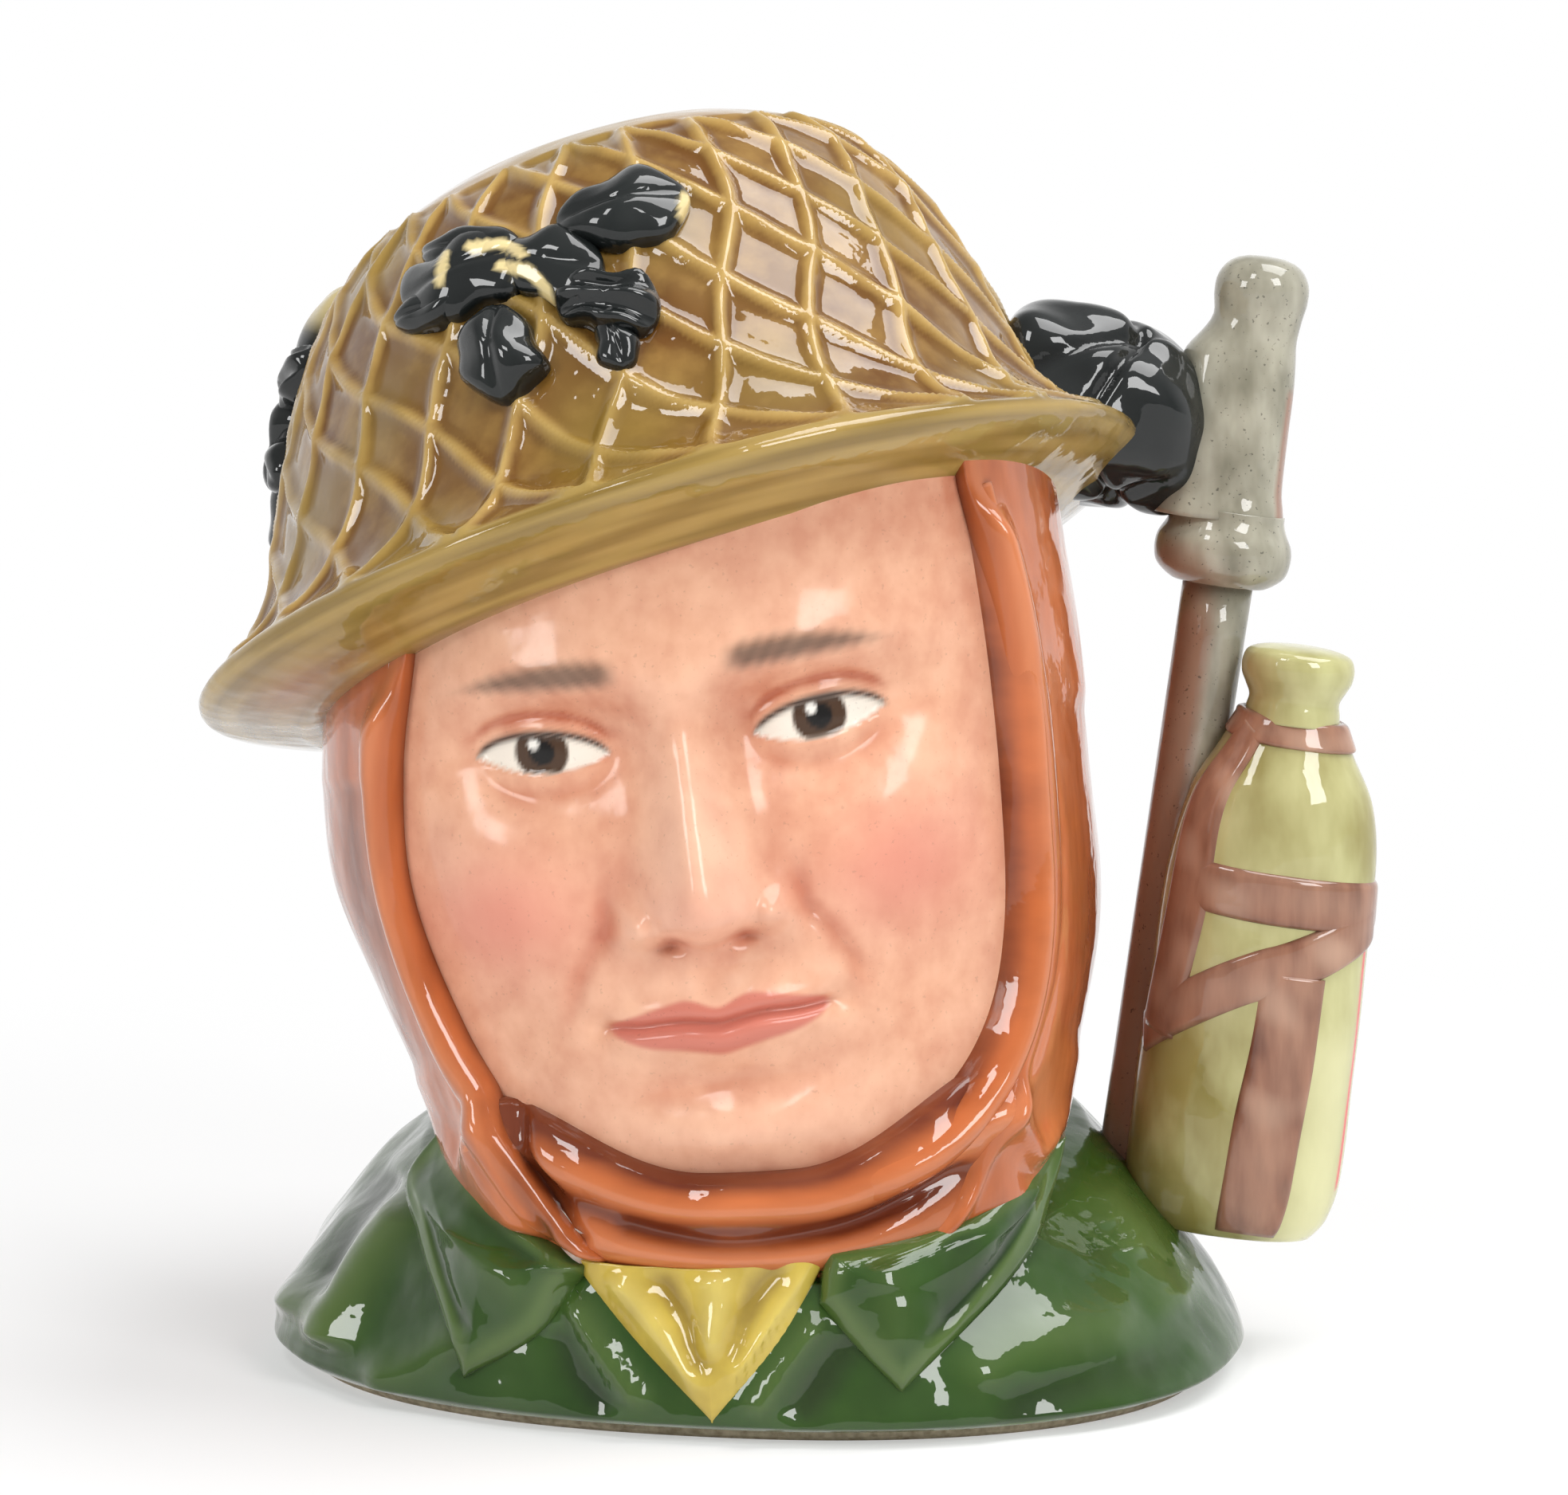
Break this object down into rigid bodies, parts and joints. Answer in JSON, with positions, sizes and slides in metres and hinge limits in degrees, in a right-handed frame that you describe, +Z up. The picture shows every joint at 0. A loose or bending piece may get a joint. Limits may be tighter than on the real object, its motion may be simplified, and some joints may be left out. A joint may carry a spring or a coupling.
{
  "type": "character jug",
  "caption": "Small glazed pottery jug shaped as a soldier's head in a netted helmet and hood, with a scabbard and water bottle for its handle.",
  "frame": {"origin": "centre of the foot, on the surface that the jug stands on", "axes": "+Z up, -Y towards the way the face looks, +X towards the handle"},
  "size_m": [0.1055, 0.0832, 0.1122],
  "materials": {
    "bare_foot": "ground bare earthenware, matt",
    "green_glaze": "bottle green under a clear gloss glaze",
    "yellow_glaze": "mustard yellow under a clear gloss glaze",
    "brown_glaze": "brushed russet brown under a clear gloss glaze",
    "skin_glaze": "tinted salmon with painted features under a clear gloss glaze",
    "khaki_glaze": "khaki, lighter on the net's cords, under a clear gloss glaze",
    "black_glaze": "black-green under a clear gloss glaze",
    "grey_glaze": "mottled stone grey under a clear gloss glaze",
    "scabbard_glaze": "grey, brown towards the jug, under a clear gloss glaze",
    "bottle_glaze": "pale green under a clear gloss glaze",
    "strap_glaze": "brown under a clear gloss glaze"
  },
  "bodies": {
    "root": {"foot_rim": "bare_foot", "jacket": "green_glaze", "collar_left": "green_glaze", "collar_right": "green_glaze", "scarf": "yellow_glaze", "hood_roll": "brown_glaze", "hood": "brown_glaze", "face": "skin_glaze", "helmet": "khaki_glaze", "sprig_front": "black_glaze", "sprig_side": "black_glaze", "sprig_handle": "black_glaze", "bayonet_grip": "grey_glaze", "bayonet_guard": "grey_glaze", "scabbard": "scabbard_glaze", "bottle": "bottle_glaze", "bottle_stopper": "bottle_glaze", "strap_band": "strap_glaze", "strap_sling": "strap_glaze", "strap_hanger": "strap_glaze", "strap_side": "strap_glaze", "strap_neck": "strap_glaze"}
  },
  "joints": []
}
